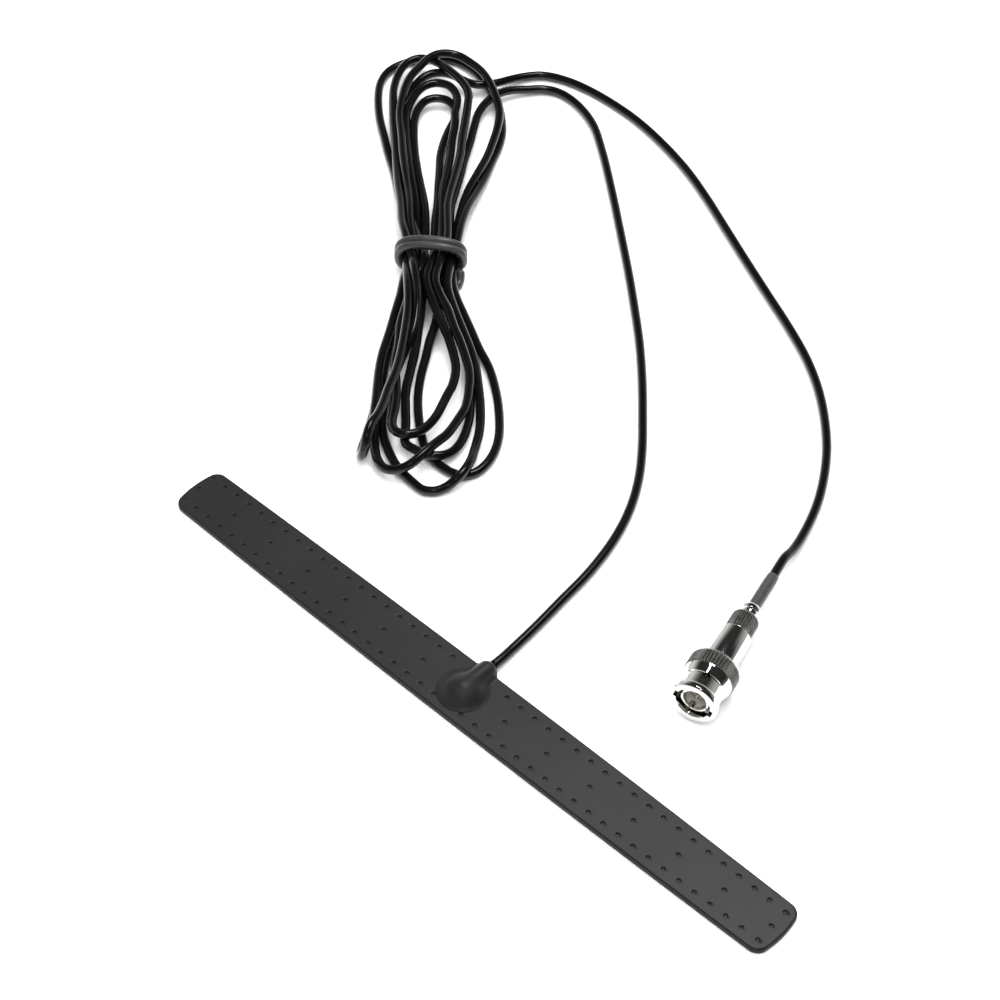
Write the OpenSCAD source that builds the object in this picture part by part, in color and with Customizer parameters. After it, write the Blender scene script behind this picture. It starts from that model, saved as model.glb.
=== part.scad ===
// Flat adhesive strip antenna with a thin coaxial lead, a tied hank and a bayonet plug.
// Millimetres, +Z up. The strip's underside is z = 0, the boss is over the origin and the strip's length runs along X.

/* [Strip] */
// Overall length of the strip
strip_len = 215.6; // [180:0.2:260]
// Width of the strip at its middle
strip_w_mid = 18.6; // [18.2:0.1:19.2]
// Width of the strip at its ends
strip_w_end = 16.8; // [16.4:0.1:18.0]
// Height of the strip's flat top above the surface it is stuck to
strip_top = 2.2; // [2.0:0.1:3]
// Rise of the arc at each short end
end_arc = 1.2; // [0.6:0.1:2]
// Spacing of the dimples along the strip
dimple_pitch = 5; // [4.5:0.1:5.1]
// Diameter of a dimple
dimple_d = 1.0; // [0.6:0.1:1.4]
// Distance of each outer row of dimples from the centreline
dimple_row = 6.2; // [5.8:0.05:6.4]

/* [Cable boss] */
// Diameter of the domed boss where it meets the strip
boss_d = 13; // [12:0.5:15]
// Height of the boss above the strip's top
boss_h = 3.4; // [3.1:0.1:4.5]
// How far the boss reaches beyond the centreline on the cable side
boss_reach = 11; // [10:0.5:14]

/* [Lead] */
// Outside diameter of the coaxial lead
lead_d = 2.8; // [2.6:0.1:2.8]
// Height of the tied hank
hank_h = 9; // [8.5:0.5:12]

/* [Plug] */
// Outside diameter of the knurled grip
grip_d = 14.5; // [14.2:0.1:15]
// Outside diameter of the coupling's front rim
rim_d = 13.6; // [13:0.1:14]
// Outside diameter of the smooth barrel
barrel_d = 9.4; // [9.2:0.1:9.8]
// Outside diameter of the rear knurled nut
nut_d = 7.8; // [7.4:0.1:8.4]
// Number of knurl ridges on the grip
grip_ridges = 48; // [36:2:60]
// Number of knurl ridges on the rear nut
nut_ridges = 32; // [24:2:40]
// How far the coupling slides forward against its spring washers
coupling_travel = 1.0; // [0.6:0.1:1.1]

/* [Hidden] */
$fn = 64;
e = 0.01;

// layers of the strip, from the surface upwards
liner_t = 0.10;
pad_t = 0.40;
base_t = 0.20;
film_t = 0.10;
foil_t = 0.10;
z_pad = liner_t;
z_base = z_pad + pad_t;          // 0.5
z_film = z_base + base_t;        // 0.7
z_foil = z_film + film_t;        // 0.8
z_board = z_foil + foil_t;       // 0.9

// outline of the strip: a slight taper and a shallow arc at each end, with rounded corners
hl = strip_len / 2;
corner_r = 2.5;
strip_off = 0.8;                  // the boss sits this far from the strip's middle
function half_w(x) = strip_w_mid / 2 - (strip_w_mid - strip_w_end) / 2 * pow(abs(x) / hl, 2);
function end_x(y) = hl - end_arc * pow(y / (strip_w_end / 2), 2);
// one quadrant, from the long edge round the corner to the end's middle
cx = end_x(strip_w_end / 2 - corner_r) - corner_r + 0.3;
cy = half_w(cx) - corner_r;
quad = concat(
    [for (i = [0:8]) let (x = cx * i / 8) [x, half_w(x)]],
    [for (a = [75:-15:15]) [cx + corner_r * cos(a), cy + corner_r * sin(a)]],
    [for (i = [0:4]) let (y = (cy - 0.2) * (1 - i / 4)) [end_x(y), y]]);
nq = len(quad);
outline = concat(
    quad,
    [for (i = [nq - 2:-1:0]) [quad[i][0], -quad[i][1]]],
    [for (i = [1:nq - 1]) [-quad[i][0], -quad[i][1]]],
    [for (i = [nq - 2:-1:1]) [-quad[i][0], quad[i][1]]]);
module strip_outline(inset) {
    // an inset outline is the same outline drawn smaller
    translate([strip_off, 0]) polygon([for (p = outline) [p[0] * (hl - inset) / hl, p[1] * (strip_w_mid / 2 - inset) / (strip_w_mid / 2)]]);
}

// dimple columns: counted from the boss in both directions
dimple_n = floor((hl - 2) / dimple_pitch);
function under_boss(k, row) = row == 1 ? abs(k) <= 1 : k == 0;

// cable boss
boss_r = boss_d / 2;
boss_top = strip_top + boss_h;
dome_r = (boss_r * boss_r + boss_h * boss_h) / (2 * boss_h);
dome_z = boss_top - dome_r;
neck_r = 3.5;                     // the neck tapers from the dome to the lead's exit
exit_r = 2.0;
cable_z = 2.0;                    // height of the lead's centre where it leaves the boss
chamber_r = 4.4;
chamber_top = 3.4;

// coaxial lead, from the middle outwards
wire_r = 0.24;
core_ri = 0.26;
core_r = 0.74;
braid_ri = 0.76;
braid_r = 1.04;
jacket_ri = 1.06;
lead_r = lead_d / 2;

// plug: its own z runs from the front face back to the lead
plug_x = 49.7;
plug_y = 34.8;
plug_heading = 104.9;
plug_tilt = 3;
grip_r = grip_d / 2;
touch_s = 13.9;                   // the grip rests on the surface at this distance from the front
plug_z = grip_r * cos(plug_tilt) + touch_s * sin(plug_tilt);
plug_len = 52;
plug_dir = [cos(plug_tilt) * cos(plug_heading), cos(plug_tilt) * sin(plug_heading), -sin(plug_tilt)];
slot_angle = 104;
module at_plug() translate([plug_x, plug_y, plug_z]) rotate([0, 90 + plug_tilt, plug_heading]) children();

// tied hank: a bow-tie outline about its waist
hank_x = -122;
hank_y = 112;
hank_heading = -46.3;
waist_half = 9;
tie_half = 3.4;
tie_h = 10;
module at_hank() translate([hank_x, hank_y, 0]) rotate([0, 0, hank_heading]) children();

// route of the lead from the boss to the hank, and from the hank to the plug
z0 = lead_r;
lead_a = [
    [0, boss_reach, cable_z], [0, 16, 1.7], [0, 22, z0], [-1, 29, z0], [-2, 41, z0], [-3, 54, z0], [-6, 67, z0],
    [-10, 78, z0], [-16, 89, z0], [-23, 98, z0], [-32, 109, z0], [-42, 120, z0], [-52, 131, z0], [-64, 142, z0],
    [-75, 152, z0], [-90, 165, z0], [-105, 178, z0], [-120, 190.5, z0], [-132, 199, z0], [-141, 203, z0],
    [-150, 203.5, z0], [-156, 201, 2.2], [-160, 195, 4], [-163.5, 186.5, 4.6]];
lead_b = [
    [-170.5, 188, 4.6], [-167, 198, 3.6], [-161, 205, 2], [-154, 209, z0], [-144, 211, z0], [-133, 211.5, z0],
    [-122, 210.5, z0], [-109, 207.5, z0], [-95, 203, z0], [-81, 197, z0], [-67, 189.5, z0], [-52, 182, z0],
    [-37, 174.5, z0], [-23, 167.5, z0], [-11, 160.5, z0], [-1, 153.5, z0], [8, 145.5, z0], [16, 136, z0],
    [22.5, 127, z0], [27, 117.5, z0], [30.6, 107.5, 2.0], [33.4, 98, 3.4], [35, 92, 4.3],
    [plug_x + plug_len * plug_dir[0], plug_y + plug_len * plug_dir[1], plug_z + plug_len * plug_dir[2]]];

// smooth path through a route's points
function cr(p, i, t) = let (n = len(p), a = p[max(i - 1, 0)], b = p[i], c = p[min(i + 1, n - 1)], d = p[min(i + 2, n - 1)])
    0.5 * (2 * b + (c - a) * t + (2 * a - 5 * b + 4 * c - d) * t * t + (3 * b - a - 3 * c + d) * t * t * t);
function smooth(p, m) = concat([for (i = [0:len(p) - 2], j = [0:m - 1]) cr(p, i, j / m)], [p[len(p) - 1]]);
function unit(v) = v / norm(v);
// a tube of 8 sides swept along the points, its end rings square to d0 and d1
module tube(pts, r, d0, d1) {
    n = len(pts);
    dirs = [for (i = [0:n - 1]) i == 0 ? unit(d0) : i == n - 1 ? unit(d1) : unit(pts[i + 1] - pts[i - 1])];
    rings = [for (i = [0:n - 1]) let (t = dirs[i], s = unit(cross([0, 0, 1], t)), u = cross(t, s))
        for (k = [0:7]) pts[i] + r * (cos(45 * k + 22.5) * s + sin(45 * k + 22.5) * u)];
    faces = concat([[for (k = [0:7]) k]],
        [for (i = [0:n - 2], k = [0:7]) [i * 8 + k, (i + 1) * 8 + k, (i + 1) * 8 + (k + 1) % 8, i * 8 + (k + 1) % 8]],
        [[for (k = [7:-1:0]) (n - 1) * 8 + k]]);
    polyhedron(rings, faces, convexity = 6);
}
// a ring between two radii and two heights
module ring(ri, ro, z1, z2) {
    translate([0, 0, z1]) difference() {
        cylinder(r = ro, h = z2 - z1);
        translate([0, 0, -1]) cylinder(r = ri, h = z2 - z1 + 2);
    }
}
// a ring along Y inside the boss
module y_ring(ri, ro, y1, y2) {
    translate([0, y1, cable_z]) rotate([-90, 0, 0]) difference() {
        cylinder(r = ro, h = y2 - y1);
        if (ri > 0) translate([0, 0, -1]) cylinder(r = ri, h = y2 - y1 + 2);
    }
}
// straight knurl: a toothed outline extruded
module knurl(r, depth, teeth, z1, z2) {
    translate([0, 0, z1]) linear_extrude(height = z2 - z1)
        polygon([for (i = [0:teeth - 1], j = [0:1]) let (a = 360 * (i + j / 2) / teeth, q = j == 0 ? r : r - depth) [q * cos(a), q * sin(a)]]);
}

// ---- strip ----
module release_liner() { color("khaki") linear_extrude(height = liner_t) strip_outline(0.3); }
module adhesive_pad() { color("gainsboro") translate([0, 0, z_pad]) linear_extrude(height = pad_t) strip_outline(0.3); }
// the two films are notched where the lead passes over their edge
module film(t) linear_extrude(height = t) difference() {
    strip_outline(1.6);
    translate([-1.1, 4.1]) square([2.2, 6]);
}
module base_film() { color("dimgray") translate([0, 0, z_base]) film(base_t); }
module element_carrier() { color("wheat") translate([0, 0, z_film]) film(film_t); }
module dipole_arm() {
    translate([1.6, -5, z_foil]) difference() {
        cube([hl - 8, 10, foil_t]);
        translate([-1, 3.2, -1]) cube([4.4, 10, 2]);
    }
}
module dipole_left_arm() { color("chocolate") mirror([1, 0, 0]) dipole_arm(); }
module dipole_right_arm() { color("chocolate") dipole_arm(); }

module strip_body() {
    color("#35363a") difference() {
        union() {
            translate([0, 0, z_base]) linear_extrude(height = strip_top - z_base) strip_outline(0);
            intersection() {
                union() {
                    translate([0, -0.3, dome_z]) sphere(r = dome_r);
                    translate([0, -1, 1.9]) rotate([-90, 0, 0]) cylinder(r1 = neck_r + 0.14, r2 = exit_r + 0.3, h = boss_reach + 1 - 0.6);
                    translate([0, boss_reach - 0.6, 1.9]) rotate([-90, 0, 0]) cylinder(r1 = exit_r + 0.3, r2 = exit_r - 0.1, h = 0.6);
                }
                translate([-20, -20, z_base]) cube([40, 40, 10]);
            }
        }
        // pocket for the film and the foil, open underneath
        translate([0, 0, z_base - 1]) linear_extrude(height = 1 + z_board - z_base) strip_outline(1.55);
        // chamber over the feed, and the lead's way out
        translate([0, 0, z_base]) cylinder(r = chamber_r, h = chamber_top - z_base);
        translate([0, 3, cable_z]) rotate([-90, 0, 0]) cylinder(r = lead_r + 0.02, h = boss_reach);
        translate([0, 5.96, cable_z]) rotate([-90, 0, 0]) cylinder(r = lead_r + 0.44, h = 1.58);
        // dimples: two outer rows, and a middle row at every third column
        for (k = [-dimple_n:dimple_n], row = [-1, 0, 1])
            if ((row != 0 || k % 3 == 0) && !under_boss(k, row))
                translate([k * dimple_pitch, row * dimple_row * (row == 0 ? 0 : (half_w(k * dimple_pitch) - 2.7) / (half_w(0) - 2.7)), strip_top - 0.5])
                    cylinder(d = dimple_d, h = 1);
    }
}

// ---- feed inside the boss ----
module feed_board() { color("seagreen") translate([-2.8, -3.1, z_board]) cube([5.6, 4.6, 0.6]); }
module feed_solder() {
    color("silver") {
        difference() {
            translate([0, -1.7, z_board + 0.6]) cylinder(r = 0.7, h = 0.9);
            y_ring(0, wire_r + 0.02, -4, 2);
        }
        for (s = [-1, 1]) translate([s * 1.9, 0.6, z_board + 0.6]) cylinder(r = 0.6, h = 0.35);
    }
}
module feed_conductor() { color("peru") y_ring(0, wire_r, -2.6, boss_reach); }
module feed_dielectric() { color("white") y_ring(core_ri, core_r, 1.6, boss_reach); }
module feed_braid() {
    color("tan") {
        y_ring(braid_ri, braid_r, 2.2, boss_reach);
        // the braid's two combed-out tails, down to the board
        for (s = [-1, 1]) translate([s < 0 ? -2.3 : 0.9, 1.52, 1.1]) cube([1.4, 1.5, 0.5]);
    }
}
module feed_jacket() { color("#101012") y_ring(jacket_ri, lead_r, 4.3, boss_reach); }
// a saddle over the jacket, its two feet on the film
module cable_clamp() {
    color("silver") difference() {
        y_ring(lead_r + 0.02, lead_r + 0.42, 6.0, 7.5);
        translate([-3, 5, -2]) cube([6, 4, 2 + z_foil + 0.02]);
    }
}

// ---- lead ----
module lead_to_strip() {
    color("#121214") tube(smooth(lead_a, 3), lead_r, [0, 1, 0], lead_a[len(lead_a) - 1] - lead_a[len(lead_a) - 2]);
}
module lead_to_plug() {
    color("#121214") tube(smooth(lead_b, 3), lead_r, lead_b[1] - lead_b[0], -plug_dir);
}
module cable_hank() {
    color("#19191b") at_hank() difference() {
        linear_extrude(height = hank_h) union() {
            translate([-80, 0]) circle(r = 22);
            translate([74, 0]) circle(r = 22);
            polygon([[-92, 18.4], [-92, -18.4], [0, -waist_half], [88, -16.9], [88, 16.9], [0, waist_half]]);
        }
        // the waist is drawn in by the tie
        translate([-tie_half, -30, -1]) cube([2 * tie_half, 60, 1 + 2.4]);
        translate([-tie_half, -30, hank_h - 1.5]) cube([2 * tie_half, 60, 4]);
        for (s = [-1, 1]) translate([-tie_half, s > 0 ? waist_half - 0.6 : -30, -1]) cube([2 * tie_half, 30 - waist_half + 0.6, 20]);
    }
}
module hank_tie() {
    color("#161618") at_hank() for (s = [-1, 1]) translate([s * 1.55 - 1.5, 0, 0]) difference() {
        translate([0, -waist_half - 2, 0]) cube([3, 2 * waist_half + 4, tie_h]);
        translate([-1, -waist_half + 0.6, 2.4]) cube([5, 2 * waist_half - 1.2, hank_h - 1.5 - 2.4]);
    }
}

// ---- plug, fixed pieces ----
module strain_sleeve() { color("#3a3a3d") at_plug() ring(lead_r + 0.02, 1.75, 36.4, plug_len); }
module tail_ring() {
    color("silver") at_plug() rotate_extrude()
        polygon([[1.77, 34.8], [2.3, 34.8], [2.3, 36.1], [2.95, 36.3], [2.95, 37.6], [2.5, 37.9], [2.3, 38.4], [1.77, 38.4]]);
}
module clamp_nut() {
    color("#4a4b4d") at_plug() difference() {
        union() {
            translate([0, 0, 21.4]) cylinder(r = 3.35, h = 7);
            translate([0, 0, 27.2]) cylinder(r = nut_d / 2 - 0.25, h = 7.2);
            knurl(nut_d / 2, 0.22, nut_ridges, 27.8, 33.8);
            translate([0, 0, 34.4]) cylinder(r = 2.9, h = 0.38);
        }
        translate([0, 0, 20]) cylinder(r = lead_r + 0.05, h = 20);
    }
}
module clamp_washer() { color("silver") at_plug() ring(lead_r + 0.05, 3.3, 20.9, 21.38); }
module clamp_gasket() { color("#5b5b5b") at_plug() ring(lead_r + 0.02, 3.3, 19.6, 20.88); }
module braid_clamp() {
    color("goldenrod") at_plug() rotate_extrude()
        polygon([[1.10, 17.2], [2.0, 17.2], [3.3, 18.6], [3.3, 19.58], [1.42, 19.58], [1.42, 18.0], [1.10, 18.0]]);
}
module plug_jacket() { color("#101012") at_plug() ring(jacket_ri, lead_r, 18.4, plug_len); }
module plug_braid() { color("tan") at_plug() ring(braid_ri, braid_r, 17.0, plug_len); }
module plug_dielectric() { color("white") at_plug() ring(core_ri, core_r, 16.4, plug_len); }
module plug_conductor() { color("peru") at_plug() translate([0, 0, 13.6]) cylinder(r = wire_r, h = plug_len - 13.6); }

// one turned body: slotted contact tube, shoulder, journal for the coupling and barrel
module plug_barrel() {
    color("silver") at_plug() difference() {
        rotate_extrude() polygon([
            [3.5, 1.4], [3.9, 1.4], [4.1, 1.7], [4.1, 7.6], [3.85, 7.6], [3.85, 8.6], [4.8, 8.6], [4.8, 9.05], [6.03, 9.05], [6.03, 11.2],
            [4.4, 11.2], [4.4, 15.0], [barrel_d / 2 - 0.2, 15.0], [barrel_d / 2, 15.2], [barrel_d / 2, 26.8],
            [barrel_d / 2 - 0.2, 27.0], [3.4, 27.0], [3.4, 15.6], [2.6, 15.6], [2.6, 8.0], [3.5, 8.0]]);
        for (a = [0, 90]) rotate([0, 0, a + 20]) translate([-10, -0.2, 0]) cube([20, 0.4, 6.2]);
    }
}
module front_insulator() {
    color("white") at_plug() difference() {
        union() {
            translate([0, 0, 5.2]) cylinder(r = 3.46, h = 2.78);
            translate([0, 0, 7.9]) cylinder(r = 2.58, h = 3.1);
        }
        translate([0, 0, 4]) cylinder(r = 0.7, h = 8);
        translate([0, 0, 9.4]) cylinder(r = 0.95, h = 4);
    }
}
module rear_insulator() {
    color("white") at_plug() difference() {
        translate([0, 0, 11.1]) cylinder(r = 2.58, h = 4.4);
        translate([0, 0, 10]) cylinder(r = 0.95, h = 8);
    }
}
module centre_pin() {
    color("gold") at_plug() difference() {
        rotate_extrude() polygon([[0, 2.2], [0.35, 2.35], [0.675, 3.1], [0.675, 9.5], [0.92, 9.5], [0.92, 15.9], [0, 15.9]]);
        translate([0, 0, 13.5]) cylinder(r = wire_r + 0.02, h = 4);
        translate([0, 0, 14.6]) rotate([90, 0, 0]) cylinder(r = 0.2, h = 2);
    }
}
module mating_gasket() { color("whitesmoke") at_plug() ring(3.87, 4.72, 7.7, 8.58); }
module wave_washers() { color("lightsteelblue") at_plug() { ring(4.6, 5.9, 11.22, 11.38); ring(4.6, 5.9, 11.40, 11.56); } }

// ---- plug, moving pieces ----
module thrust_washer() { color("silver") at_plug() ring(4.45, 6.02, 12.62, 13.36); }
module snap_ring() {
    color("gray") at_plug() difference() {
        ring(4.6, 6.45, 13.42, 13.96);
        rotate([0, 0, 200]) translate([0, -0.6, 13]) cube([10, 1.2, 2]);
    }
}
module bayonet_slot() {
    // entry from the front face, ramp inside the wall and the round seat at its end
    translate([3, -1.15, -1]) cube([2.7, 2.3, 4.6]);
    for (a = [0:6:84]) rotate([0, 0, a]) translate([3, 0, 3.6 + 2.2 * a / 84]) rotate([0, 90, 0]) cylinder(r = 1.15, h = 2.7);
    rotate([0, 0, 84]) translate([3, 0, 5.6]) rotate([0, 90, 0]) cylinder(r = 1.15, h = 5);
}
module coupling_sleeve() {
    color("#b9bbbd") at_plug() difference() {
        union() {
            rotate_extrude() polygon([
                [4.9, 0], [rim_d / 2 - 0.4, 0], [rim_d / 2, 0.4], [rim_d / 2, 1.7], [rim_d / 2 - 0.3, 2.0], [6.15, 2.2],
                [6.15, 6.6], [6.9, 9.0], [6.9, 14.3], [6.6, 14.6], [6.1, 14.6], [6.1, 14.0], [6.5, 14.0], [6.5, 13.4],
                [6.1, 13.4], [6.1, 9.0], [4.9, 9.0]]);
            difference() {
                knurl(grip_r, 0.25, grip_ridges, 9.4, touch_s);
                translate([0, 0, 9]) cylinder(r = 6.7, h = 6);
            }
        }
        for (s = [0, 180]) rotate([0, 0, slot_angle + s]) bayonet_slot();
    }
}

release_liner();
adhesive_pad();
base_film();
element_carrier();
dipole_left_arm();
dipole_right_arm();
strip_body();
feed_board();
feed_solder();
feed_conductor();
feed_dielectric();
feed_braid();
feed_jacket();
cable_clamp();
lead_to_strip();
cable_hank();
hank_tie();
lead_to_plug();
strain_sleeve();
tail_ring();
clamp_nut();
clamp_washer();
clamp_gasket();
braid_clamp();
plug_jacket();
plug_braid();
plug_dielectric();
plug_conductor();
plug_barrel();
front_insulator();
rear_insulator();
centre_pin();
mating_gasket();
wave_washers();
thrust_washer();
snap_ring();
coupling_sleeve();
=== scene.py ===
# Looks of the strip antenna: skin, boss, lead, hank and tie, plug, materials, light and camera.
import math
import random

import bpy
import numpy as np
from mathutils import Matrix, Vector


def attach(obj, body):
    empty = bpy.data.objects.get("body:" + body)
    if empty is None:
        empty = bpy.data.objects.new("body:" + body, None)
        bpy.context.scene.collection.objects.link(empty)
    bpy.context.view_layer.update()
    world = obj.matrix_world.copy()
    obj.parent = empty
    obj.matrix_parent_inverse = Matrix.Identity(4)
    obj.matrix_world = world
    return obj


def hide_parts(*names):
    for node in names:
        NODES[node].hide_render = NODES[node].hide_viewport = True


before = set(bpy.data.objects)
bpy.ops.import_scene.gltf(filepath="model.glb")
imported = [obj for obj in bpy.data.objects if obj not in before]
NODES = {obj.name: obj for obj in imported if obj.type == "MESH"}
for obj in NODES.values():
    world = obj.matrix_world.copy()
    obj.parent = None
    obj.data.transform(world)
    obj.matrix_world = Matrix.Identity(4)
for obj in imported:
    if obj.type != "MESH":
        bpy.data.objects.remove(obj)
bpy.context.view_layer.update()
SCENE = bpy.context.scene
MM = 0.001
random.seed(7)
RNG = np.random.default_rng(7)

# ------------------------------------------------------------------ camera
cam_data = bpy.data.cameras.new("camera")
cam = bpy.data.objects.new("camera", cam_data)
SCENE.collection.objects.link(cam)
cam_data.sensor_width = 36.0
cam_data.lens = 85.04
cam_data.clip_start = 0.01
cam_data.clip_end = 50.0
CX = Vector((0.7268241561, 0.6868235915, -0.0000130770))
CY = Vector((0.5127677787, -0.5426440103, -0.6652869180))
CZ = Vector((-0.4569418466, 0.4835398972, -0.7465877822))
cam.matrix_world = Matrix((
    (CX.x, -CY.x, -CZ.x, 0.267722),
    (CX.y, -CY.y, -CZ.y, -0.269129),
    (CX.z, -CY.z, -CZ.z, 0.503900),
    (0, 0, 0, 1)))
SCENE.camera = cam

# ------------------------------------------------------------------ sizes, millimetres
STRIP_TOP, Z_BASE = 2.2, 0.5
HL, W_MID, W_END, CORNER = 107.8, 18.6, 16.8, 2.5
OFF = 0.8                                     # the boss sits this far from the strip's middle
PITCH, ROW, DIMPLE_D = 5.0, 6.2, 1.0
LEAD_R = 1.4
EXIT = (0.0, 11.0, 2.0)
PLUG_M = (Matrix.Translation((49.7, 34.8, 7.96753)) @ Matrix.Rotation(math.radians(104.9), 4, "Z")
          @ Matrix.Rotation(math.radians(93), 4, "Y"))
PLUG_DIR = np.array([PLUG_M[0][2], PLUG_M[1][2], PLUG_M[2][2]])
HANK_O, HANK_A = np.array([-122.0, 112.0]), math.radians(-46.3)
HANK_U = np.array([math.cos(HANK_A), math.sin(HANK_A)])      # along the hank, towards the plug's side
HANK_V = np.array([-math.sin(HANK_A), math.cos(HANK_A)])     # across it


# ------------------------------------------------------------------ mesh helpers
def mesh_object(name, verts, faces, sharp=None, matrix=None):
    """A mesh piece from points in millimetres; matrix places local millimetres in the row frame."""
    me = bpy.data.meshes.new(name)
    me.from_pydata((np.asarray(verts, float) * MM).tolist(), [], [list(map(int, f)) for f in faces])
    me.validate()
    me.update()
    ob = bpy.data.objects.new(name, me)
    SCENE.collection.objects.link(ob)
    me.shade_smooth()
    if sharp is not None:
        me.set_sharp_from_angle(angle=math.radians(sharp))
    if matrix is not None:
        m = matrix.copy()
        m.translation = m.translation * MM
        ob.matrix_world = m
    return ob


def rounded(points, n=4):
    """A section's corners (r, z, radius) turned into small arcs; returns (r, z) points."""
    out = []
    m = len(points)
    for i in range(m):
        p = np.array(points[i][:2], float)
        rad = points[i][2] if len(points[i]) > 2 else 0.0
        if rad <= 0:
            out.append(tuple(p))
            continue
        a = np.array(points[i - 1][:2], float) - p
        b = np.array(points[(i + 1) % m][:2], float) - p
        la, lb = np.linalg.norm(a), np.linalg.norm(b)
        a, b = a / la, b / lb
        cosv = float(np.clip(a @ b, -1, 1))
        half = math.acos(cosv) / 2
        t = min(rad / math.tan(half), la * 0.45, lb * 0.45)
        r = t * math.tan(half)
        bis = (a + b) / np.linalg.norm(a + b)
        c = p + bis * (r / math.sin(half))
        s, e = p + a * t - c, p + b * t - c
        a0, a1 = math.atan2(s[1], s[0]), math.atan2(e[1], e[0])
        d = (a1 - a0 + math.pi) % (2 * math.pi) - math.pi
        for k in range(n + 1):
            q = a0 + d * k / n
            out.append((c[0] + r * math.cos(q), c[1] + r * math.sin(q)))
    return out


def lathe(name, section, segs=144, teeth=0, depth=0.0, spans=(), matrix=PLUG_M, sharp=35, closed=True):
    """Turns a section of (r, z) points about z. Inside the z spans the outer wall carries a straight knurl."""
    sec = np.asarray(section, float)
    n = len(sec)
    th = np.arange(segs) * 2 * math.pi / segs
    r = np.repeat(sec[:, 0:1], segs, 1)
    if teeth:
        ph = (th * teeth / (2 * math.pi)) % 1.0
        shape = np.abs(ph * 2 - 1)                      # 0 in the valley's middle, 1 on the ridge
        shape = np.clip((shape - 0.08) / 0.62, 0, 1)    # flat ridges with V grooves between them
        for z0, z1, rmin, fade in spans:
            w = np.clip((sec[:, 1] - z0) / fade, 0, 1) * np.clip((z1 - sec[:, 1]) / fade, 0, 1) * (sec[:, 0] > rmin)
            r = r - depth * w[:, None] * (1 - shape[None, :])
    verts = np.stack([r * np.cos(th), r * np.sin(th), np.repeat(sec[:, 1:2], segs, 1)], -1).reshape(-1, 3)
    faces = []
    last = n if closed else n - 1
    for i in range(last):
        j = (i + 1) % n
        for k in range(segs):
            l = (k + 1) % segs
            faces.append((i * segs + k, i * segs + l, j * segs + l, j * segs + k))
    if not closed:
        faces.append(tuple(range(segs))[::-1])
        faces.append(tuple((n - 1) * segs + k for k in range(segs)))
    # outward faces, whichever way the section runs
    area = 0.0
    for i in range(n):
        a, b = sec[i], sec[(i + 1) % n]
        area += a[0] * b[1] - b[0] * a[1]
    if area < 0:
        faces = [f[::-1] for f in faces]
    return mesh_object(name, verts, faces, sharp, matrix)


def cut(ob, cutters, sharp=35):
    """Removes the cutters from a piece, exactly."""
    for c in cutters:
        c.matrix_world = ob.matrix_world.copy()
        bpy.context.view_layer.update()
        m = ob.modifiers.new("cut", "BOOLEAN")
        m.operation = "DIFFERENCE"
        m.solver = "EXACT"
        m.object = c
        dg = bpy.context.evaluated_depsgraph_get()
        new = bpy.data.meshes.new_from_object(ob.evaluated_get(dg))
        ob.modifiers.remove(m)
        old = ob.data
        ob.data = new
        new.name = ob.name
        bpy.data.meshes.remove(old)
    for c in cutters:
        bpy.data.objects.remove(c)
    ob.data.shade_smooth()
    ob.data.set_sharp_from_angle(angle=math.radians(sharp))


def box_cutter(lo, hi, turn=0.0):
    (x0, y0, z0), (x1, y1, z1) = lo, hi
    v = np.array([(x, y, z) for x in (x0, x1) for y in (y0, y1) for z in (z0, z1)], float)
    c, s = math.cos(turn), math.sin(turn)
    v = np.stack([v[:, 0] * c - v[:, 1] * s, v[:, 0] * s + v[:, 1] * c, v[:, 2]], -1)
    f = [(0, 1, 3, 2), (4, 6, 7, 5), (0, 4, 5, 1), (2, 3, 7, 6), (0, 2, 6, 4), (1, 5, 7, 3)]
    return mesh_object("cutter", v, f)


def pin_cutter(r, x0, x1, z, turn, segs=40):
    """A round cutter along the radius at angle turn and height z."""
    a = np.arange(segs) * 2 * math.pi / segs
    c, s = math.cos(turn), math.sin(turn)
    v = []
    for x in (x0, x1):
        y = r * np.cos(a)
        v.append(np.stack([x * c - y * s, x * s + y * c, z + r * np.sin(a)], -1))
    v = np.concatenate(v)
    f = [tuple(range(segs))[::-1], tuple(range(segs, 2 * segs))]
    f += [(k, (k + 1) % segs, segs + (k + 1) % segs, segs + k) for k in range(segs)]
    return mesh_object("cutter", v, f)


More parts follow.
